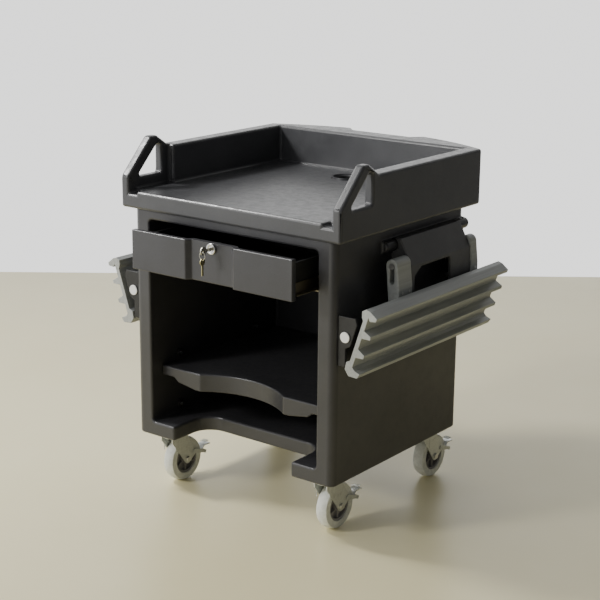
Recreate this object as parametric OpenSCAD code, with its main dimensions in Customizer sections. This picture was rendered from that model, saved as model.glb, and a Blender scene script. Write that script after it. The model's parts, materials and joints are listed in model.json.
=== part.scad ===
// Mobile counter cart: a moulded cabinet on casters with a walled worktop, a lockable
// drawer, a lift-out shelf and a fold-down tray rail on each side.
// The front faces -Y, +Z is up, and the origin is on the floor under the middle.

/* [Cabinet] */
// Outer width of the cabinet
body_w = 670; // [660:1:676]
// Outer depth of the cabinet
body_d = 596; // [590:1:600]
// Height of the cabinet's underside above the floor
body_z = 158; // [158:1:158]
// Height of the cabinet's roof above the floor
roof_z = 798; // [798:1:798]
// Thickness of the side walls
side_t = 53; // [50:1:55]
// Thickness of the back wall
back_t = 45; // [35:1:50]
// Thickness of the floor slab
floor_t = 41; // [38:1:43]
// Thickness of the roof slab
roof_t = 28; // [27:1:29]
// Depth of the toe cut-out in the floor
toe_d = 140; // [110:5:150]
// Width of the toe cut-out in the floor
toe_w = 404; // [360:2:410]

/* [Worktop] */
// Outer width of the worktop tray
tray_w = 726; // [720:1:728]
// Distance of the tray's front edge from the middle
tray_front = 317; // [312:1:320]
// Height of the work surface
deck_z = 845; // [840:1:850]
// Height of the rim's top
rim_z = 950; // [940:1:955]
// Height of the handle peaks
peak_z = 979; // [975:1:985]
// Width of the rim
rim_t = 46; // [42:1:48]
// Thickness of the handle walls
handle_t = 27; // [24:1:30]
// Radius of the cable hole in the worktop
cable_r = 29; // [27:0.5:32]

/* [Drawer] */
// Width of the drawer front
drawer_w = 532; // [526:1:534]
// Height of the drawer front's lower edge
drawer_z = 654; // [652:1:656]
// Height of the drawer front
drawer_h = 106; // [100:1:107]
// How far the drawer stands open
drawer_out = 82; // [80:1:84]
// Length of the drawer box
box_len = 400; // [360:5:420]

/* [Shelf] */
// Height of the shelf's top
shelf_z = 353; // [350:1:356]
// Distance of the shelf's front edge from the middle
shelf_front = 256; // [250:1:260]
// Depth of the scoop in the shelf's front edge
scoop_d = 48; // [40:1:52]

/* [Tray rails] */
// Length of a tray rail
rail_len = 636; // [600:1:640]
// Distance of a rail's front end from the middle
rail_front = 285; // [280:1:290]
// Lean of a hanging rail from the vertical
rail_lean = 18.6; // [18.6:0.1:18.6]

/* [Casters] */
// Radius of the wheels
wheel_r = 63.5; // [63.5:0.1:63.5]
// Width of the tyres
tyre_w = 32; // [30:1:32]
// Distance of the swivels from the middle, across
caster_x = 268; // [266:1:270]
// Distance of the swivels from the middle, front to back
caster_y = 230; // [228:1:232]
// Trail of the wheels behind their swivels
trail = 38; // [38:1:38]

/* [Hidden] */
$fn = 48;
eps = 0.5;                                   // overshoot of a cut past the face it opens
gap = 0.3;                                   // air between curved or sliding faces of two bodies

// Cabinet
body_r = 20;                                 // radius of the upright edges
open_w = body_w - 2 * side_t;                // clear width inside
front_y = -body_d / 2;
inner_back_y = body_d / 2 - back_t;
floor_z = body_z + floor_t;
ceil_z = roof_z - roof_t;
toe_r = 55;                                  // radius of the toe cut-out's inner corners
bead_r = 15;                                 // half-round bead that each bracket hooks over
bead_z = 750;
bead_front = -100;
bead_back = 296;

// Worktop
back_reach = 412.8;                          // furthest back that the tray reaches, beside its notch
notch_w = 196;                               // notch in the middle of the back, at its floor
notch_d = 30;
notch_out = 28;                              // how much wider the notch is on each side at its mouth
notch_half = notch_w / 2 + notch_out;
corner_r = 9;
bow_r = 760;                                 // the back is bowed to this radius
back_y = back_reach + bow_r - sqrt(bow_r * bow_r - notch_half * notch_half);
well_back_y = 313;                           // inner face of the back rim
peak_y = -212;
rim_start_y = -156;                          // where a handle runs into the rim
hole_y = 204;                                // the cable hole's place
flange_t = 2;
horn_z = 882;                                // top of a handle's upright front end

// Drawer
face_y = front_y - drawer_out;               // outer face of the drawer front
panel_t = 16;
dish_d = 13;                                 // depth of the dished middle of the drawer front
dish_w = 134;
box_w = 500;
box_t = 8;
box_z = drawer_z + 6;
box_h = 84;
box_y = face_y + panel_t;
rail_in = panel_t + 3;                       // the fixed rails start behind the closed drawer front
lock_z = 745;
lock_y = face_y + dish_d;                    // face of the dish, where the lock sits
plug_r = 7;

// Tray rails: a rail's section runs up its back (u) and out from it (n)
rail_foot_x = 397;
rail_foot_z = 460;
pivot_x = 381;
pivot_z = 711;
pin_r = 6;
slot_w = 13;
slot_h = 52;
arm_r = 17.5;
arm_x = 404;                                 // outer face of an arm's foot
arm_front = [-120, -57];
arm_back = [234, 266];
bracket_y = [-55, 232];
bracket_t = 9;

// Casters
plate_t = 4;
yoke_z = 142;                                // underside of the swivel race, top of the fork
leg_gap = 18.5;                              // inner face of a fork leg from the wheel's middle
leg_t = 3;
axle_r = 5;
hub_r = 42;
pedal_y = 66;                                // the brake pedal's pivot, behind and above the axle
pedal_z = 80;
rivet_r = 3;

module rounded(w, d, r) {
    square([w - 2 * r, d], center = true);
    square([w, d - 2 * r], center = true);
    for (x = [-1, 1], y = [-1, 1]) translate([x * (w / 2 - r), y * (d / 2 - r)]) circle(r);
}
module upright(y0, y1) {                     // extrudes an X-Z outline from y0 to y1
    translate([0, y1, 0]) rotate([90, 0, 0]) linear_extrude(y1 - y0) children();
}
module sideways(x0, x1) {                    // extrudes a Y-Z outline from x0 to x1
    translate([x0, 0, 0]) rotate([90, 0, 90]) linear_extrude(x1 - x0) children();
}
module rod_y(x, z, r, y0, y1) { translate([x, y1, z]) rotate([90, 0, 0]) cylinder(r = r, h = y1 - y0); }
module rod_x(y, z, r, x0, x1) { translate([x0, y, z]) rotate([0, 90, 0]) cylinder(r = r, h = x1 - x0); }
module side(s) { if (s < 0) mirror([1, 0, 0]) children(); else children(); }

// --- cabinet -------------------------------------------------------------------------------
module toe_outline() {
    r = toe_r;
    translate([-toe_w / 2, front_y - eps]) square([toe_w, toe_d - r + eps]);
    translate([-toe_w / 2 + r, front_y]) square([toe_w - 2 * r, toe_d]);
    for (x = [-1, 1]) translate([x * (toe_w / 2 - r), front_y + toe_d - r]) circle(r);
}
module opening_outline() {
    r = 12;
    h = ceil_z - floor_z;
    translate([0, floor_z + h / 2]) rounded(open_w, h, r);
}
module body_shell() color([0.20, 0.20, 0.21]) difference() {
    union() {
        translate([0, 0, body_z]) linear_extrude(roof_z - body_z) rounded(body_w, body_d, body_r);
        for (s = [-1, 1]) rod_y(s * (body_w / 2 + 4), bead_z, bead_r, bead_front, bead_back);
    }
    upright(front_y - eps, inner_back_y) opening_outline();
    translate([0, 0, body_z - eps]) linear_extrude(floor_t + 2 * eps) toe_outline();
    translate([0, hole_y, ceil_z - eps]) cylinder(r = cable_r, h = roof_t + 2 * eps);
    translate([-27, front_y + 38, ceil_z - eps]) cube([54, 22, 18]);
}

// --- worktop -------------------------------------------------------------------------------
module notch_outline() {
    y = back_reach - notch_d;
    polygon([[-notch_w / 2, y], [notch_w / 2, y], [notch_half + 20, y + notch_d + 20],
             [-notch_half - 20, y + notch_d + 20]]);
}
module tray_outline() offset(r = corner_r) offset(delta = -corner_r) difference() {
    intersection() {
        translate([-tray_w / 2, -tray_front]) square([tray_w, tray_front + back_y]);
        translate([0, back_y - bow_r]) circle(bow_r, $fn = 360);
    }
    notch_outline();
}
module handle_outline() {                    // Y-Z outline of the side wall above the deck
    offset(r = 12) offset(delta = -12) polygon([
        [-tray_front, roof_z - 40], [-tray_front, horn_z], [peak_y - 12, peak_z], [peak_y + 12, peak_z],
        [rim_start_y, rim_z], [back_y + 60, rim_z], [back_y + 60, roof_z - 40]]);
}
module handle_hole_outline() {
    offset(r = 7) offset(delta = -7) polygon([[-279, 876], [-184, 876], [-184, 956], [-200, 956]]);
}
module top_tray() color([0.23, 0.23, 0.24]) difference() {
    intersection() {
        translate([0, 0, roof_z]) linear_extrude(peak_z - roof_z) tray_outline();
        sideways(-tray_w, tray_w) handle_outline();
    }
    translate([-tray_w / 2 + rim_t, -tray_front - eps, deck_z]) {
        cube([tray_w - 2 * rim_t, tray_front + well_back_y + eps, 200]);
    }
    translate([-tray_w / 2 + handle_t, -tray_front - eps, deck_z]) {
        cube([tray_w - 2 * handle_t, tray_front + rim_start_y + eps, 200]);
    }
    for (s = [-1, 1]) {
        side(s) translate([tray_w / 2 - handle_t - 28, -tray_front - eps, deck_z - 9]) cube([28, 34, 20]);
        side(s) sideways(tray_w / 2 - handle_t - eps, tray_w / 2 + eps) handle_hole_outline();
    }
    translate([0, hole_y, roof_z - eps]) cylinder(r = cable_r, h = deck_z - roof_z + 2 * eps);
    translate([0, hole_y, deck_z - flange_t]) cylinder(r = cable_r + 5.2, h = 10);
}
module cable_grommet() color([0.08, 0.08, 0.08]) translate([0, hole_y, 0]) difference() {
    union() {
        translate([0, 0, deck_z - flange_t]) cylinder(r = cable_r + 5, h = flange_t);
        translate([0, 0, deck_z - 45]) cylinder(r = cable_r - 0.2, h = 45 - flange_t);
    }
    translate([0, 0, roof_z]) cylinder(r = cable_r - 3, h = 60);
}
module tray_screws() color([0.5, 0.5, 0.5]) for (x = [-1, 1], y = [-200, 120]) {
    translate([x * 250, y, ceil_z - 4]) cylinder(r = 8, h = 4);
}

// --- shelf ---------------------------------------------------------------------------------
scoop_half = 143;
scoop_r = (scoop_half * scoop_half / scoop_d + scoop_d) / 2;
shelf_half = open_w / 2 - 1.5;
shelf_back = inner_back_y - 8;
module scoop() { translate([0, -shelf_front - scoop_r + scoop_d]) circle(scoop_r, $fn = 120); }
module shelf() color([0.20, 0.20, 0.21]) difference() {
    union() {
        translate([-shelf_half, -shelf_front, shelf_z - 12]) {
            cube([2 * shelf_half, shelf_front + shelf_back, 12]);
        }
        intersection() {
            translate([0, 0, shelf_z - 60]) linear_extrude(60) {
                translate([-shelf_half, -shelf_front]) square([2 * shelf_half, 14]);
                intersection() {
                    translate([-shelf_half, -shelf_front]) square([2 * shelf_half, 100]);
                    translate([0, -shelf_front - scoop_r + scoop_d]) circle(scoop_r + 14, $fn = 120);
                }
            }
            upright(-shelf_front - 1, -shelf_front + 100) polygon([
                [-shelf_half, shelf_z], [shelf_half, shelf_z], [shelf_half, shelf_z - 28],
                [239, shelf_z - 28], [223, shelf_z - 40], [161, shelf_z - 50],
                [-161, shelf_z - 50], [-223, shelf_z - 40], [-239, shelf_z - 28], [-shelf_half, shelf_z - 28]]);
        }
        for (x = [-shelf_half, shelf_half - 12]) {
            translate([x, -shelf_front, shelf_z - 28]) cube([12, shelf_front + shelf_back, 20]);
        }
    }
    translate([0, 0, shelf_z - 70]) linear_extrude(80) scoop();
}
module shelf_ledges() color([0.16, 0.16, 0.17]) for (s = [-1, 1], y = [-190, 150]) {
    side(s) translate([open_w / 2 - 22, y, shelf_z - 44]) cube([22, 60, 16]);
}
module shelf_studs() color([0.12, 0.12, 0.12])
for (s = [-1, 1], y = [-186, 150], z = [shelf_z + 20, floor_z + 24]) {
    side(s) difference() {
        translate([open_w / 2 - 8, y, z]) rotate([0, 90, 0]) cylinder(r = 11, h = 8);
        translate([open_w / 2 - 9, y, z]) rotate([0, 90, 0]) cylinder(r = 3, h = 10);
    }
}
module shelf_stud_screws() color([0.6, 0.6, 0.6]) {
    for (s = [-1, 1], y = [-186, 150], z = [shelf_z + 20, floor_z + 24]) {
        side(s) translate([open_w / 2 - 8, y, z]) rotate([0, 90, 0]) cylinder(r = 3, h = 8);
        side(s) translate([open_w / 2 - 10.5, y, z]) rotate([0, 90, 0]) cylinder(r = 5, h = 2.5);
    }
}

// --- drawer --------------------------------------------------------------------------------
module front_outline(shift, half) {          // X-Y line of the drawer front's face, as points
    polygon([[-half, shift], [-dish_w / 2 - dish_d, shift], [-dish_w / 2, shift + dish_d],
             [dish_w / 2, shift + dish_d], [dish_w / 2 + dish_d, shift], [half, shift],
             [half, shift + panel_t], [dish_w / 2 + dish_d + 7, shift + panel_t],
             [dish_w / 2 + 7, shift + panel_t + dish_d], [-dish_w / 2 - 7, shift + panel_t + dish_d],
             [-dish_w / 2 - dish_d - 7, shift + panel_t], [-half, shift + panel_t]]);
}
module drawer_front() color([0.24, 0.24, 0.25]) difference() {
    translate([0, 0, drawer_z]) linear_extrude(drawer_h) front_outline(face_y, drawer_w / 2);
    rod_y(0, lock_z, 11, lock_y - 1, lock_y + 40);
}
module drawer_box() color([0.07, 0.07, 0.07]) difference() {
    translate([-box_w / 2, box_y, box_z]) cube([box_w, box_len, box_h]);
    translate([-box_w / 2 + box_t, box_y - eps, box_z + 5]) {
        cube([box_w - 2 * box_t, box_len - box_t + eps, box_h]);
    }
    translate([-dish_w / 2 - 22, box_y - eps, box_z - eps]) cube([dish_w + 44, dish_d + eps, 10]);
}
module drawer_slide(s) color([0.62, 0.60, 0.52]) side(s) {
    translate([box_w / 2, box_y + 4, box_z + 4]) cube([3, box_len - 8, 30]);
    translate([box_w / 2 + 3 - eps, box_y + 4, box_z + 4]) cube([14, box_len - 8, 2.5]);
}
module drawer_slide_left() drawer_slide(-1);
module drawer_slide_right() drawer_slide(1);
module drawer_rail(s) color([0.66, 0.63, 0.52]) side(s) {
    translate([open_w / 2 - 24, front_y + rail_in, box_z + 0.5]) cube([24, 420, 3]);
    translate([open_w / 2 - 3, front_y + rail_in, box_z + 3]) cube([3, 420, 36]);
    translate([open_w / 2 - 12, front_y + rail_in, box_z + 36]) cube([12, 420, 3]);
}
module drawer_rail_left() drawer_rail(-1);
module drawer_rail_right() drawer_rail(1);
module drawer_front_screws() color([0.6, 0.6, 0.6]) for (x = [-205, 205], z = [678, 725]) {
    rod_y(x, z, 5, box_y, box_y + 3);
}

// --- lock and keys -------------------------------------------------------------------------
module lock_housing() color([0.8, 0.8, 0.8]) difference() {
    union() {
        rod_y(0, lock_z, 14, lock_y - 4, lock_y);
        rod_y(0, lock_z, 11, lock_y - 1, lock_y + 30);
    }
    rod_y(0, lock_z, plug_r + 0.05, lock_y - 5, lock_y + 31);
}
module lock_nut() color([0.7, 0.7, 0.68]) difference() {
    rod_y(0, lock_z, 14.5, lock_y + panel_t, lock_y + panel_t + 5, $fn = 6);
    rod_y(0, lock_z, 11, lock_y + panel_t - 1, lock_y + panel_t + 6);
}
module lock_plug() color([0.85, 0.85, 0.83]) difference() {
    rod_y(0, lock_z, plug_r, lock_y - 5, lock_y + 32);
    translate([-1.3, lock_y - 6, lock_z - 4.6]) cube([2.6, 26, 9.2]);
}
module lock_cam() color([0.7, 0.7, 0.68]) {
    upright(lock_y + 32, lock_y + 35) union() {
        translate([0, lock_z]) circle(9);
        translate([0, lock_z - 7]) square([32, 14]);
    }
    rod_y(0, lock_z, 4, lock_y + 35, lock_y + 40);
}
bow_y = 13 - back_reach;                     // middle of the key's bow
module lock_key() color([0.75, 0.73, 0.66]) {
    translate([-1.2, bow_y + 8, lock_z - 4]) cube([2.4, lock_y + 16 - bow_y - 8, 8]);
    difference() {
        rod_x(bow_y, lock_z, 11, -1.2, 1.2);
        rod_x(bow_y - 4, lock_z - 2, 3, -2, 2);
    }
}
ring_r = 9;                                  // middle radius of the key ring
ring_z = lock_z - 2 - 1.9 - ring_r + 1;
module key_ring() color([0.75, 0.75, 0.74]) {
    translate([0, bow_y - 4, ring_z]) rotate([90, 0, 0]) rotate_extrude() {
        translate([ring_r, 0]) circle(0.8, $fn = 16);
    }
}
module spare_key() color([0.70, 0.66, 0.45]) translate([0, bow_y - 4, ring_z - ring_r]) difference() {
    union() {
        rod_x(0, -6.6, 9, -1, 1);
        translate([-1, -3, -42]) cube([2, 6, 30]);
    }
    rod_x(0, -1.5, 2.4, -2, 2);
}

// --- tray rails ----------------------------------------------------------------------------
module rail_section() {
    offset(r = 1.5) offset(delta = -1.5) {
        polygon([[4, -36], [172, -36], [172, -24], [4, -24]]);
        polygon([[148, -36], [156, -42], [170, -46], [180, -37], [180, -24], [172, -1], [163, -1],
                 [156, -17], [166, -27], [160, -30]]);
        polygon([[126, -25], [121, -2], [112, 0], [104, -25]]);
        polygon([[74, -25], [67, -2], [57, -2], [49, -25]]);
        polygon([[35, -35], [25, -45], [6, -43], [-6, -27], [1, -2], [15, 2], [16, -15], [22, -25], [30, -25]]);
    }
}
module tray_rail(s) color([0.34, 0.36, 0.37]) side(s) {
    upright(-rail_front, -rail_front + rail_len) at_rail() rail_section();
}
module tray_rail_left() tray_rail(-1);
module tray_rail_right() tray_rail(1);
module at_rail() { translate([rail_foot_x, rail_foot_z]) rotate(90 - rail_lean) mirror([0, 1]) children(); }
module arm_outline() difference() {
    hull() {
        translate([pivot_x - 1, pivot_z + 1]) circle(arm_r);
        polygon([[381, 518], [arm_x, 592], [arm_x, 655]]);
    }
    hull() {
        translate([pivot_x, pivot_z]) circle(slot_w / 2);
        translate([pivot_x, pivot_z - slot_h + slot_w]) circle(slot_w / 2);
    }
    at_rail() rail_section();
}
module rail_arms(s) color([0.34, 0.36, 0.37]) side(s) for (y = [arm_front, arm_back]) {
    upright(y[0], y[1]) arm_outline();
}
module rail_arms_left() rail_arms(-1);
module rail_arms_right() rail_arms(1);
module rail_arm_screws(s) color([0.6, 0.6, 0.6]) side(s) for (y = [-104, -73, 250]) {
    rod_x(y, 643, 3.5, arm_x, arm_x + 1.5);
}
module rail_arm_screws_left() rail_arm_screws(-1);
module rail_arm_screws_right() rail_arm_screws(1);
module pivot_pins(s) color([0.55, 0.55, 0.55]) side(s) {
    rod_y(pivot_x, pivot_z, pin_r, arm_front[0] - 3, bracket_y[0] + 14);
    rod_y(pivot_x, pivot_z, pin_r + 2, arm_front[0] - 1.8, arm_front[0] - 0.6);
    rod_y(pivot_x, pivot_z, pin_r, bracket_y[1] - 14, arm_back[1] + 3);
    rod_y(pivot_x, pivot_z, pin_r + 2, arm_back[1] + 0.6, arm_back[1] + 1.8);
}
module pivot_pins_left() pivot_pins(-1);
module pivot_pins_right() pivot_pins(1);
module bracket_skirt_outline() {             // X-Z line of the skirt, top to bottom, then back up
    t = bracket_t;
    polygon([[336, 768], [362, 768], [369, 756], [397, 703], [401, 625], [396, 600],
             [396 - t, 602], [401 - t, 627], [397 - t, 701], [365 - t, 756], [362 - t, 759.5], [336, 759.5]]);
}
module bracket_end_outline() {
    polygon([[336, 738], [336, 768], [362, 768], [369, 756], [397, 703], [401, 625], [396, 600], [336, 600]]);
}
module wing_bracket(s) color([0.13, 0.13, 0.13]) side(s) difference() {
    union() {
        upright(bracket_y[0], bracket_y[1]) bracket_skirt_outline();
        for (y = [bracket_y[0], bracket_y[1] - 10]) upright(y, y + 10) bracket_end_outline();
        translate([335, bracket_y[0], 600]) cube([6, bracket_y[1] - bracket_y[0], 130]);
    }
    rod_y(body_w / 2 + 4, bead_z, bead_r + gap, bracket_y[0] - 1, bracket_y[1] + 1);
    rod_y(pivot_x, pivot_z, pin_r + 0.05, bracket_y[0] - 1, bracket_y[1] + 1);
    sideways(380, 420) offset(r = 8) offset(delta = -8) {
        polygon([[-42, 612], [132, 612], [132, 694], [-6, 694], [-40, 672]]);
    }
}
module wing_bracket_left() wing_bracket(-1);
module wing_bracket_right() wing_bracket(1);
module wing_bracket_bolts() color([0.5, 0.5, 0.5]) for (s = [-1, 1], y = [-30, 208], z = [620, 665]) {
    side(s) rod_x(y, z, 7, 341, 346);
}
module rest_outline() {
    polygon([[335, 482], [354, 482], [357, 486], [357, 530], [371.5, 538], [391, 596], [386, 612], [335, 612]]);
}
module rail_rests() color([0.12, 0.12, 0.12]) for (s = [-1, 1], y = [-282, 296]) {
    side(s) upright(y, y + 8) rest_outline();
}
module rail_rest_caps() color([0.85, 0.85, 0.84]) for (s = [-1, 1]) side(s) rod_y(357, 560, 14, -286, -282);

// --- casters -------------------------------------------------------------------------------
module plate_holes(r, h) {
    for (x = [-1, 1], y = [-1, 1]) translate([x * 38, y * 30, 0]) cylinder(r = r, h = h);
}
module at_casters() { for (x = [-1, 1], y = [-1, 1]) translate([x * caster_x, y * caster_y, 0]) children(); }
module caster_plates() color([0.68, 0.68, 0.66]) at_casters() difference() {
    translate([0, 0, body_z - plate_t]) linear_extrude(plate_t) rounded(100, 84, 8);
    translate([0, 0, body_z - plate_t - 1]) cylinder(r = 6, h = plate_t + 2);
    translate([0, 0, body_z - plate_t - 1]) plate_holes(4.2, plate_t + 2);
}
module caster_plate_bolts() color([0.6, 0.6, 0.6]) at_casters() {
    translate([0, 0, body_z - plate_t - 5]) for (x = [-1, 1], y = [-1, 1]) {
        translate([x * 38, y * 30, 0]) cylinder(r = 7, h = 5);
    }
    translate([0, 0, body_z - plate_t]) plate_holes(4.2, plate_t);
}
module caster_kingpins() color([0.7, 0.7, 0.68]) at_casters() {
    translate([0, 0, yoke_z - 8]) cylinder(r = 6, h = body_z - yoke_z + 8);
    translate([0, 0, yoke_z - 12]) cylinder(r = 10, h = 5.5);
}
module leg_outline() difference() {          // Y-Z outline of a fork leg, the wheel trailing in +Y
    hull() {
        translate([-26, yoke_z - 14]) square([58, 14]);
        translate([trail, wheel_r]) circle(13);
        translate([pedal_y, pedal_z]) circle(9);
    }
    translate([pedal_y, pedal_z]) circle(rivet_r + 0.06);
}
module fork() color([0.70, 0.71, 0.70]) difference() {
    union() {
        for (x = [-leg_gap - leg_t, leg_gap]) sideways(x, x + leg_t) leg_outline();
        translate([-leg_gap - leg_t, -26, yoke_z - leg_t]) cube([2 * (leg_gap + leg_t), 58, leg_t]);
        translate([0, 0, yoke_z - leg_t]) cylinder(r = 29, h = leg_t);
        translate([0, 0, yoke_z - eps]) cylinder(r = 27, h = 11);
    }
    translate([0, 0, yoke_z - 10]) cylinder(r = 6 + 0.06, h = 30);
    rod_x(trail, wheel_r, axle_r, -30, 30);
}
module axle() color([0.75, 0.75, 0.74]) {
    rod_x(trail, wheel_r, axle_r, -leg_gap - leg_t - 4, leg_gap + leg_t + 4);
    for (x = [-leg_gap - leg_t - 5, leg_gap + leg_t]) rod_x(trail, wheel_r, 9, x, x + 5, $fn = 6);
}
module tyre() color([0.72, 0.74, 0.72]) translate([0, trail, wheel_r]) rotate([0, 90, 0]) {
    rotate_extrude($fn = 96) intersection() {
        translate([hub_r, -tyre_w / 2]) square([wheel_r - hub_r, tyre_w]);
        translate([wheel_r - 34, 0]) circle(34, $fn = 96);
    }
}
module hub() color([0.30, 0.31, 0.31]) translate([0, trail, wheel_r]) rotate([0, 90, 0]) difference() {
    union() {
        difference() {
            translate([0, 0, -13]) cylinder(r = hub_r, h = 26);
            for (z = [-14, 3]) translate([0, 0, z]) cylinder(r = hub_r - 6, h = 11);
        }
        translate([0, 0, -16]) cylinder(r = 15, h = 32);
        for (a = [0:60:300]) rotate(a) translate([12, -2.5, -11]) cube([hub_r - 16, 5, 22]);
    }
    translate([0, 0, -20]) cylinder(r = axle_r + 0.06, h = 40);
}
module pedal() color([0.62, 0.62, 0.60]) {
    in = leg_gap + leg_t + gap;              // inner face of a pedal cheek from the wheel's middle
    for (x = [-in - 2.5, in]) sideways(x, x + 2.5) hull() {
        translate([pedal_y, pedal_z]) circle(7);
        translate([110, 67]) circle(4);
    }
    for (x = [-in - 3, leg_gap + 0.5]) rod_x(pedal_y, pedal_z, rivet_r, x, x + in + 2.5 - leg_gap);
    sideways(-in - 2.5, in + 2.5) hull() for (z = [62, 70]) translate([110, z]) circle(1.5);
    sideways(-12, 12) {
        hull() for (p = [[110, 69], [119, 79]]) translate(p) circle(1.5);
        hull() for (p = [[119, 79], [143, 78]]) translate(p) circle(1.5);
    }
}
module at_caster(x, y) { translate([x * caster_x, y * caster_y, 0]) children(); }

body_shell();
top_tray();
cable_grommet();
tray_screws();
shelf();
shelf_ledges();
shelf_studs();
shelf_stud_screws();
drawer_front();
drawer_box();
drawer_slide_left();
drawer_slide_right();
drawer_rail_left();
drawer_rail_right();
drawer_front_screws();
lock_housing();
lock_nut();
lock_plug();
lock_cam();
lock_key();
key_ring();
spare_key();
wing_bracket_left();
wing_bracket_right();
wing_bracket_bolts();
rail_rests();
rail_rest_caps();
pivot_pins_left();
pivot_pins_right();
tray_rail_left();
tray_rail_right();
rail_arms_left();
rail_arms_right();
rail_arm_screws_left();
rail_arm_screws_right();
caster_plates();
caster_plate_bolts();
caster_kingpins();
at_caster(-1, -1) fork();  // fork_front_left
at_caster(-1, -1) axle();  // axle_front_left
at_caster(-1, -1) tyre();  // tyre_front_left
at_caster(-1, -1) hub();  // hub_front_left
at_caster(-1, -1) pedal();  // pedal_front_left
at_caster(1, -1) fork();  // fork_front_right
at_caster(1, -1) axle();  // axle_front_right
at_caster(1, -1) tyre();  // tyre_front_right
at_caster(1, -1) hub();  // hub_front_right
at_caster(1, -1) pedal();  // pedal_front_right
at_caster(-1, 1) fork();  // fork_back_left
at_caster(-1, 1) axle();  // axle_back_left
at_caster(-1, 1) tyre();  // tyre_back_left
at_caster(-1, 1) hub();  // hub_back_left
at_caster(-1, 1) pedal();  // pedal_back_left
at_caster(1, 1) fork();  // fork_back_right
at_caster(1, 1) axle();  // axle_back_right
at_caster(1, 1) tyre();  // tyre_back_right
at_caster(1, 1) hub();  // hub_back_right
at_caster(1, 1) pedal();  // pedal_back_right
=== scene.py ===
import json
import math

import bmesh
import bpy
from mathutils import Matrix, Vector


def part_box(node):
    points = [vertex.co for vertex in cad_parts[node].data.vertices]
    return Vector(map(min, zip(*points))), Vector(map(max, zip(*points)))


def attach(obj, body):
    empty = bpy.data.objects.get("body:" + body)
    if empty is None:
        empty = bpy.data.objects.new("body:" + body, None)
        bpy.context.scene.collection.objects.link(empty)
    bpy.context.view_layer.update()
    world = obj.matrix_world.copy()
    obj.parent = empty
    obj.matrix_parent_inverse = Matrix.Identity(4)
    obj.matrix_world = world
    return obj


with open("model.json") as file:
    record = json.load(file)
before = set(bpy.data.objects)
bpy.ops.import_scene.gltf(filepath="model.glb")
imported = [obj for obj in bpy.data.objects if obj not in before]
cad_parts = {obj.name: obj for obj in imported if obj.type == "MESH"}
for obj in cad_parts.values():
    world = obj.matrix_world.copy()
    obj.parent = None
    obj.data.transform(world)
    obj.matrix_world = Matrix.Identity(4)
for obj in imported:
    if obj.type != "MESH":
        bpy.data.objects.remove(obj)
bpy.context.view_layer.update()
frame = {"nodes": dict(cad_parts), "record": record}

MM = 0.001
NODES = frame["nodes"]
SLOT_OF = {row["node"]: row["material_slot"] for row in frame["record"]["subparts"]}
CORNERS = ("front_left", "front_right", "back_left", "back_right")

# Camera
AZIMUTH, ELEVATION, ROLL = (math.radians(a) for a in (37.3, 15.4, 0.5))
CAMERA_PLACE = (2.333, -3.061, 1.593)
LENS = 86.96
SENSOR = 36.0

# Studio
FLOOR_HALF = 2.36                            # half the side of the square floor
WORLD_BRIGHT = 1.7                           # strength of the surroundings on the left
WORLD_DIM = 0.15                             # and on the right
WORLD_TOP = 0.30                             # share of it that is left overhead

# Edges
WELD = 0.02 * MM                             # points closer than this are joined
FLAT_ANGLE = math.radians(0.6)               # faces flatter than this are one face
EDGE_ANGLE = math.radians(32)                # sharper edges than this are rounded
ROUNDED = {                                  # radius of each node's edges, in mm
    "body_shell": 6.0, "top_tray": 7.0, "drawer_front": 2.5, "shelf": 4.0, "drawer_box": 1.5,
    "tray_rail_left": 1.0, "tray_rail_right": 1.0, "rail_arms_left": 3.5, "rail_arms_right": 3.5,
    "wing_bracket_left": 2.5, "wing_bracket_right": 2.5, "rail_rests": 1.5, "rail_rest_caps": 1.5,
    "cable_grommet": 0.8, "shelf_ledges": 2.0, "shelf_studs": 1.0, "caster_plates": 0.6,
    **{"axle_" + corner: 0.7 for corner in CORNERS},
}

# Detail pieces
DETAIL_EDGE = 0.3 * MM                       # width of a detail piece's bevelled edges
RACE_RADIUS = 29 * MM                        # a fork's swivel race, which is also the fork's front
LEG_OUT = 21.5 * MM                          # outer face of a fork leg, from the wheel's middle
RIB_PLACES = (-14 * MM, 4 * MM)              # a leg's ribs, before and behind the swivel's axis
RIB_WIDTH = 3 * MM
RIB_DEPTH = 0.9 * MM
RIB_HEIGHTS = (97 * MM, 134 * MM)
PAD_HALF = 10.5 * MM                         # half the length of a rib across a pedal's pad
PAD_RIBS = 5
PAD_RIB_STEP = 4 * MM
PAD_RIB_WIDTH = 0.8 * MM
PAD_RIB_BACK = 3 * MM                        # first rib, from the pad's back edge
PAD_RIB_TOP = 0.1 * MM                       # ribs stay this far below the pedal's top
PAD_RIB_FOOT = 1.6 * MM


# --- camera ------------------------------------------------------------------------------------
def add_camera():
    back = Vector((math.sin(AZIMUTH) * math.cos(ELEVATION), -math.cos(AZIMUTH) * math.cos(ELEVATION),
                   math.sin(ELEVATION)))
    level = Vector((math.cos(AZIMUTH), math.sin(AZIMUTH), 0))
    upward = back.cross(level)
    right = level * math.cos(ROLL) + upward * math.sin(ROLL)
    up = upward * math.cos(ROLL) - level * math.sin(ROLL)
    data = bpy.data.cameras.new("camera")
    data.lens = LENS
    data.sensor_width = SENSOR
    camera = bpy.data.objects.new("camera", data)
    turn = Matrix((right, up, back)).transposed().to_4x4()
    camera.matrix_world = Matrix.Translation(CAMERA_PLACE) @ turn
    bpy.context.collection.objects.link(camera)
    bpy.context.scene.camera = camera


add_camera()


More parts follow.
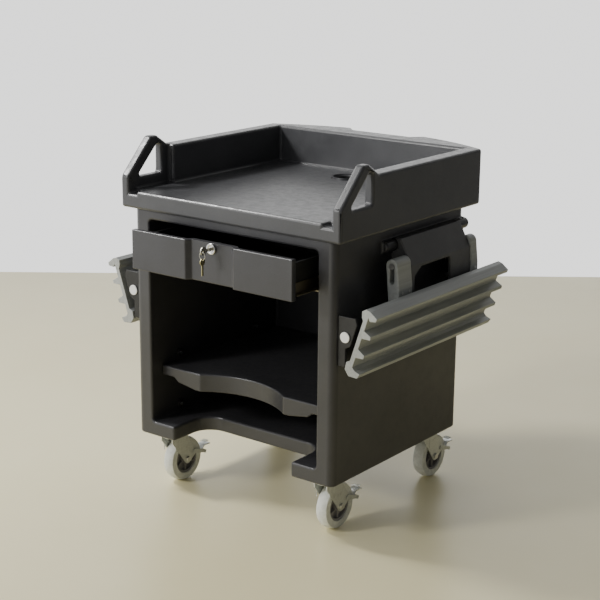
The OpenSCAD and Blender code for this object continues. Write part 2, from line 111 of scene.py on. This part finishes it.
# --- materials ---------------------------------------------------------------------------------
class Nodes:
    """Builds one procedural material: each call adds a node and returns its output."""

    def __init__(self, name):
        self.material = bpy.data.materials.new(name)
        self.material.use_nodes = True
        self.tree = self.material.node_tree
        self.shader = self.tree.nodes["Principled BSDF"]
        self.place = self.add("ShaderNodeTexCoord").outputs["Object"]

    def add(self, kind, **settings):
        node = self.tree.nodes.new(kind)
        for key, value in settings.items():
            setattr(node, key, value)
        return node

    def link(self, source, target):
        self.tree.links.new(source, target)

    def stretched(self, x, y, z):
        mapping = self.add("ShaderNodeMapping")
        mapping.inputs["Scale"].default_value = (x, y, z)
        self.link(self.place, mapping.inputs["Vector"])
        return mapping.outputs["Vector"]

    def noise(self, scale, detail=3.0, rough=0.5, vector=None):
        node = self.add("ShaderNodeTexNoise")
        node.inputs["Scale"].default_value = scale
        node.inputs["Detail"].default_value = detail
        node.inputs["Roughness"].default_value = rough
        self.link(vector or self.place, node.inputs["Vector"])
        return node.outputs["Fac"]

    def cells(self, scale):
        node = self.add("ShaderNodeTexVoronoi", feature="F1")
        node.inputs["Scale"].default_value = scale
        self.link(self.place, node.inputs["Vector"])
        return node.outputs["Distance"]

    def ramp(self, value, low, high, start=0.0, end=1.0):
        node = self.add("ShaderNodeMapRange")
        node.inputs["From Min"].default_value = start
        node.inputs["From Max"].default_value = end
        node.inputs["To Min"].default_value = low
        node.inputs["To Max"].default_value = high
        self.link(value, node.inputs["Value"])
        return node.outputs["Result"]

    def sum(self, first, second):
        node = self.add("ShaderNodeMath", operation="ADD")
        self.link(first, node.inputs[0])
        self.link(second, node.inputs[1])
        return node.outputs["Value"]

    def blend(self, factor, first, second):
        node = self.add("ShaderNodeMix", data_type="RGBA")
        self.link(factor, node.inputs["Factor"])
        for socket, colour in ((node.inputs[6], first), (node.inputs[7], second)):
            if isinstance(colour, tuple):
                socket.default_value = (*colour, 1.0)
            else:
                self.link(colour, socket)
        return node.outputs[2]

    def bump(self, height, depth, below=None):
        node = self.add("ShaderNodeBump")
        node.inputs["Distance"].default_value = depth
        self.link(height, node.inputs["Height"])
        if below:
            self.link(below, node.inputs["Normal"])
        return node.outputs["Normal"]

    def finish(self, colour, rough, normal, **constants):
        self.link(colour, self.shader.inputs["Base Color"])
        self.link(rough, self.shader.inputs["Roughness"])
        self.link(normal, self.shader.inputs["Normal"])
        for key, value in constants.items():
            self.shader.inputs[key.replace("_", " ")].default_value = value
        return self.material


def tone(colour, factor):
    return tuple(min(1.0, c * factor) for c in colour)


def plastic(name, colour, rough, grain=1400.0, grain_depth=0.00006, mottle=0.16, scuffs=0.5):
    """Moulded plastic: a fine cast grain, cloudy tone, faint scuffs that catch the light."""
    n = Nodes(name)
    cloud = n.ramp(n.noise(5.0, 4.0, 0.6), 0.0, 1.0, 0.35, 0.65)
    speck = n.ramp(n.noise(320.0, 2.0, 0.6), 0.0, 0.35, 0.55, 0.75)
    base = n.blend(cloud, tone(colour, 1 - mottle), tone(colour, 1 + mottle))
    scratch = n.noise(60.0, 5.0, 0.7, n.stretched(1.0, 6.0, 9.0))
    fine = n.ramp(n.noise(38.0, 6.0, 0.75), 0.0, 1.0, 0.42, 0.62)
    rough_out = n.sum(n.ramp(fine, rough - 0.05, rough + 0.07),
                      n.ramp(scratch, 0.0, -0.12 * scuffs, 0.60, 0.72))
    grain_out = n.bump(n.noise(grain, 2.0, 0.5), grain_depth)
    wave = n.bump(n.noise(11.0, 1.0, 0.4), 0.0003, grain_out)
    return n.finish(n.blend(speck, base, tone(colour, 1.7)), rough_out, wave, Specular_IOR_Level=0.5)


def streaked(name, colour, rough):
    """Extruded plastic: fine lines along Y, left by the die."""
    n = Nodes(name)
    lines = n.noise(900.0, 2.0, 0.6, n.stretched(1.0, 0.01, 1.0))
    broad = n.noise(140.0, 2.0, 0.5, n.stretched(1.0, 0.03, 1.0))
    cloud = n.ramp(n.noise(9.0, 4.0, 0.6), 0.0, 0.3, 0.5, 0.7)
    base = n.blend(n.ramp(broad, 0.0, 1.0, 0.3, 0.7), tone(colour, 0.88), tone(colour, 1.12))
    rough_out = n.ramp(lines, rough - 0.06, rough + 0.1)
    normal = n.bump(lines, 0.00008, n.bump(broad, 0.0003, n.bump(n.noise(1300.0), 0.00004)))
    return n.finish(n.blend(cloud, base, tone(colour, 1.25)), rough_out, normal, Specular_IOR_Level=0.5)


def metal(name, colour, rough, spangle=0.15, dirt=0.25):
    """Plated or bare metal: crystal patches, fine pitting, and dull spots."""
    n = Nodes(name)
    patches = n.ramp(n.cells(260.0), 0.0, spangle, 0.0, 0.9)
    stain = n.noise(45.0, 5.0, 0.65)
    base = n.blend(patches, colour, tone(colour, 0.55))
    colour_out = n.blend(n.ramp(stain, 0.0, dirt, 0.52, 0.7), base, tone(colour, 0.4))
    pitting = n.noise(1500.0, 2.0, 0.6)
    rough_out = n.sum(n.ramp(stain, rough - 0.05, rough + 0.12), n.ramp(pitting, -0.03, 0.05))
    return n.finish(colour_out, rough_out, n.bump(pitting, 0.00003), Metallic=1.0)


def rubber(name, colour):
    """Grey wheel rubber: dusty and faintly pitted."""
    n = Nodes(name)
    dust = n.noise(55.0, 5.0, 0.65)
    base = n.blend(n.ramp(dust, 0.0, 1.0, 0.38, 0.66), tone(colour, 0.86), tone(colour, 1.08))
    normal = n.bump(n.cells(1600.0), 0.00006, n.bump(n.noise(260.0), 0.00012))
    return n.finish(base, n.ramp(dust, 0.42, 0.62), normal, Specular_IOR_Level=0.5)


MATERIALS = {
    "body_plastic": plastic("body_plastic", (0.036, 0.036, 0.039), 0.34, scuffs=0.3),
    "tray_plastic": plastic("tray_plastic", (0.055, 0.056, 0.060), 0.33, grain=1000.0, grain_depth=0.00009,
                            scuffs=0.15),
    "panel_plastic": plastic("panel_plastic", (0.035, 0.035, 0.039), 0.34, scuffs=0.3),
    "box_plastic": plastic("box_plastic", (0.010, 0.010, 0.010), 0.6),
    # These parts are black plastic, and the colour is set deeper still as painted shade on the plate
    # between rail and body.
    "black_plastic": plastic("black_plastic", (0.008, 0.008, 0.008), 0.5),
    "bracket_black": plastic("bracket_black", (0.062, 0.062, 0.064), 0.42),
    "white_nylon": plastic("white_nylon", (0.84, 0.84, 0.82), 0.35, mottle=0.04),
    "hub_grey": plastic("hub_grey", (0.22, 0.215, 0.225), 0.45),
    "rail_grey": streaked("rail_grey", (0.34, 0.355, 0.345), 0.38),
    "steel_fastener": metal("steel_fastener", (0.72, 0.72, 0.70), 0.26),
    "yellow_zinc": metal("yellow_zinc", (0.26, 0.23, 0.16), 0.42),
    "lock_chrome": metal("lock_chrome", (0.58, 0.58, 0.57), 0.16, spangle=0.05, dirt=0.15),
    "key_nickel": metal("key_nickel", (0.62, 0.60, 0.52), 0.22, spangle=0.08),
    "key_brass": metal("key_brass", (0.42, 0.38, 0.20), 0.3, spangle=0.1),
    "pin_steel": metal("pin_steel", (0.30, 0.30, 0.30), 0.35),
    "zinc_plate": metal("zinc_plate", (0.70, 0.72, 0.70), 0.46, spangle=0.3, dirt=0.3),
    "tyre_grey": rubber("tyre_grey", (0.72, 0.74, 0.70)),
}


# --- CAD nodes ---------------------------------------------------------------------------------
def soften(piece, width):
    """Rounds a CAD node's edges with modifiers: its own vertices stay as they are."""
    piece.modifiers.new("weld", "WELD").merge_threshold = WELD
    flat = piece.modifiers.new("flat", "DECIMATE")
    flat.decimate_type = "DISSOLVE"
    flat.angle_limit = FLAT_ANGLE
    bevel = piece.modifiers.new("bevel", "BEVEL")
    bevel.width = width
    bevel.segments = 3
    bevel.limit_method = "ANGLE"
    bevel.angle_limit = EDGE_ANGLE
    bevel.use_clamp_overlap = False
    piece.modifiers.new("normals", "WEIGHTED_NORMAL").keep_sharp = True


for node_name, node_piece in NODES.items():
    node_piece.data.materials.clear()
    node_piece.data.materials.append(MATERIALS[SLOT_OF[node_name]])
    if node_name in ROUNDED:
        soften(node_piece, ROUNDED[node_name] * MM)


# --- detail pieces -----------------------------------------------------------------------------
def add_piece(name, form, slot, body):
    """Makes a smooth piece with fine bevelled edges from a bmesh, and lets it ride on a body."""
    data = bpy.data.meshes.new(name)
    bmesh.ops.recalc_face_normals(form, faces=form.faces)
    form.to_mesh(data)
    form.free()
    data.shade_smooth()
    data.materials.append(MATERIALS[slot])
    piece = bpy.data.objects.new(name, data)
    bpy.context.collection.objects.link(piece)
    bevel = piece.modifiers.new("bevel", "BEVEL")
    bevel.width = DETAIL_EDGE
    bevel.segments = 2
    bevel.limit_method = "ANGLE"
    piece.modifiers.new("normals", "WEIGHTED_NORMAL").keep_sharp = True
    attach(piece, body)


def lathe(form, centre, axis, profile, steps=64):
    """A closed ring: profile is (radius, distance along the axis) pairs, in mm."""
    axis = Vector(axis)
    across = axis.orthogonal().normalized()
    other = axis.cross(across)
    rings = []
    for radius, along in profile:
        middle = Vector(centre) + axis * along * MM
        turns = [2 * math.pi * i / steps for i in range(steps)]
        spokes = [across * math.cos(a) + other * math.sin(a) for a in turns]
        rings.append([form.verts.new(middle + spoke * radius * MM) for spoke in spokes])
    for ring, following in zip(rings, rings[1:] + rings[:1]):
        for i in range(steps):
            j = (i + 1) % steps
            form.faces.new((ring[i], ring[j], following[j], following[i]))


def slab(form, low, high):
    """A block between two corners."""
    for vert in bmesh.ops.create_cube(form, size=1.0)["verts"]:
        vert.co = Vector([lo + (hi - lo) * (c + 0.5) for lo, hi, c in zip(low, high, vert.co)])


def lock_bezel():
    """A turned ring on the face of the lock, open in the middle for the plug."""
    low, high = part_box("lock_housing")
    radius = (high[0] - low[0]) / 2 / MM
    centre = (0, low[1], (low[2] + high[2]) / 2)
    edge = [(radius + 0.6, 0), (radius + 0.6, 0.9), (radius - 0.4, 2.0), (radius - 2.4, 2.4), (9.4, 1.9),
            (7.9, 0.9), (7.7, 0)]
    form = bmesh.new()
    lathe(form, centre, (0, -1, 0), edge)
    add_piece("lock_bezel", form, "lock_chrome", "drawer")


def fork_ribs(corner):
    """Pressed ribs down the outer faces of a fork's two legs."""
    low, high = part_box("fork_" + corner)
    middle = (low[0] + high[0]) / 2
    race_y = low[1] + RACE_RADIUS
    form = bmesh.new()
    for sign in (-1, 1):
        inner, outer = sorted((middle + sign * LEG_OUT, middle + sign * (LEG_OUT + RIB_DEPTH)))
        for place in RIB_PLACES:
            y = race_y + place
            slab(form, (inner, y, RIB_HEIGHTS[0]), (outer, y + RIB_WIDTH, RIB_HEIGHTS[1]))
    add_piece("fork_ribs_" + corner, form, "zinc_plate", "caster_" + corner)


def pedal_ribs(corner):
    """Anti-slip ribs across a brake pedal's pad."""
    low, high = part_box("pedal_" + corner)
    middle = (low[0] + high[0]) / 2
    form = bmesh.new()
    for i in range(PAD_RIBS):
        y = high[1] - PAD_RIB_BACK - PAD_RIB_STEP * i
        slab(form, (middle - PAD_HALF, y - PAD_RIB_WIDTH, high[2] - PAD_RIB_FOOT),
             (middle + PAD_HALF, y, high[2] - PAD_RIB_TOP))
    add_piece("pedal_ribs_" + corner, form, "zinc_plate", "brake_" + corner)


lock_bezel()
for caster in CORNERS:
    fork_ribs(caster)
    pedal_ribs(caster)


# --- floor and light ---------------------------------------------------------------------------
def floor_material():
    n = Nodes("floor")
    cloud = n.ramp(n.noise(1.3, 5.0, 0.55), 0.0, 1.0, 0.35, 0.65)
    colour = n.blend(cloud, (0.78, 0.71, 0.43), (0.82, 0.75, 0.47))
    rough = n.ramp(n.noise(7.0, 4.0, 0.6), 0.28, 0.40)
    return n.finish(colour, rough, n.bump(n.noise(60.0), 0.00005))


def add_floor():
    """A plain square floor, turned to face the camera."""
    turn = ((-1, -1), (1, -1), (1, 1), (-1, 1))
    mesh = bpy.data.meshes.new("floor")
    mesh.from_pydata([(x * FLOOR_HALF, y * FLOOR_HALF, 0) for x, y in turn], [], [(0, 1, 2, 3)])
    floor = bpy.data.objects.new("floor", mesh)
    floor.rotation_euler.z = AZIMUTH
    mesh.materials.append(floor_material())
    bpy.context.collection.objects.link(floor)


def add_light(name, place, target, size, power, colour):
    data = bpy.data.lights.new(name, "AREA")
    data.shape = "DISK"
    data.size = size
    data.energy = power
    data.color = colour
    light = bpy.data.objects.new(name, data)
    aim = Vector(target) - Vector(place)
    light.matrix_world = Matrix.Translation(place) @ aim.to_track_quat("-Z", "Y").to_matrix().to_4x4()
    bpy.context.collection.objects.link(light)


def add_world():
    """Soft studio: bright on the left, dim on the right and overhead."""
    world = bpy.data.worlds.new("studio")
    bpy.context.scene.world = world
    world.use_nodes = True
    tree = world.node_tree

    def fade(source, start, end, low, high):
        node = tree.nodes.new("ShaderNodeMapRange")
        for key, value in zip(("From Min", "From Max", "To Min", "To Max"), (start, end, low, high)):
            node.inputs[key].default_value = value
        tree.links.new(source, node.inputs["Value"])
        return node

    split = tree.nodes.new("ShaderNodeSeparateXYZ")
    tree.links.new(tree.nodes.new("ShaderNodeTexCoord").outputs["Generated"], split.inputs["Vector"])
    sideways = fade(split.outputs["X"], -0.30, 0.55, WORLD_BRIGHT, WORLD_DIM)
    sideways.interpolation_type = "SMOOTHSTEP"
    overhead = fade(split.outputs["Z"], 0.30, 0.75, 1.0, WORLD_TOP)
    strength = tree.nodes.new("ShaderNodeMath")
    strength.operation = "MULTIPLY"
    tree.links.new(sideways.outputs["Result"], strength.inputs[0])
    tree.links.new(overhead.outputs["Result"], strength.inputs[1])
    background = tree.nodes["Background"]
    background.inputs["Color"].default_value = (1.0, 1.0, 0.99, 1.0)
    tree.links.new(strength.outputs["Value"], background.inputs["Strength"])


add_floor()
add_world()
add_light("key", (-1.9, -3.6, 2.5), (0, 0, 0.6), 0.8, 78.0, (1.0, 0.985, 0.96))
add_light("top_left", (-2.2, -0.9, 3.1), (0, 0, 0.5), 0.6, 88.0, (1.0, 0.99, 0.97))
